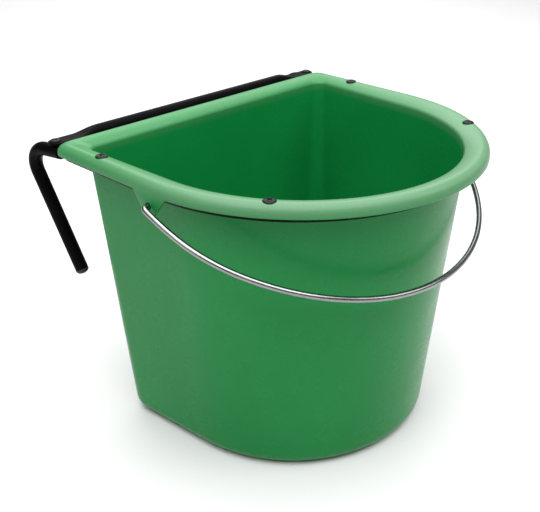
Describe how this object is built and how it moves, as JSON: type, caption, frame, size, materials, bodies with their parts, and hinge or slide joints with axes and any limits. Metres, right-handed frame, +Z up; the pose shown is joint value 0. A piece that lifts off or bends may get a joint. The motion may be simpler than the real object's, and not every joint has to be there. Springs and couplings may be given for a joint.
{
  "type": "hook-over feed bucket",
  "caption": "Flat-backed moulded plastic feed bucket with a black tube frame, rear hooks that hang it over a rail, a back bar with flattened ends and a swinging wire bail.",
  "frame": {"origin": "middle of the whole object's box in X and Y, at the underside of the bucket", "axes": "+Z up out of the bucket's mouth; +Y towards the flat back and the two hooks; +X across the width, to the right when the round front faces the viewer"},
  "size_m": [0.3388, 0.3311, 0.2625],
  "materials": {
    "green_plastic": "satin",
    "black_tube": "satin",
    "zinc_wire": "bright",
    "black_screw": "satin",
    "black_plug": "matte"
  },
  "bodies": {
    "bucket_body": {"bucket": "green_plastic", "frame_tube": "black_tube", "left_hook": "black_tube", "right_hook": "black_tube", "back_bar": "black_tube", "left_hook_plug": "black_plug", "right_hook_plug": "black_plug", "rear_left_screw": "black_screw", "rear_right_screw": "black_screw", "front_left_screw": "black_screw", "front_right_screw": "black_screw", "left_bar_screw": "black_screw", "right_bar_screw": "black_screw"},
    "bail_body": {"bail": "zinc_wire"}
  },
  "joints": [
    {"name": "bail_swing", "type": "hinge", "parent": "bucket_body", "child": "bail_body", "pos_m": [0, -0.00355, 0.2402], "axis": [-1, 0, 0], "range_deg": [-12, 172]}
  ]
}
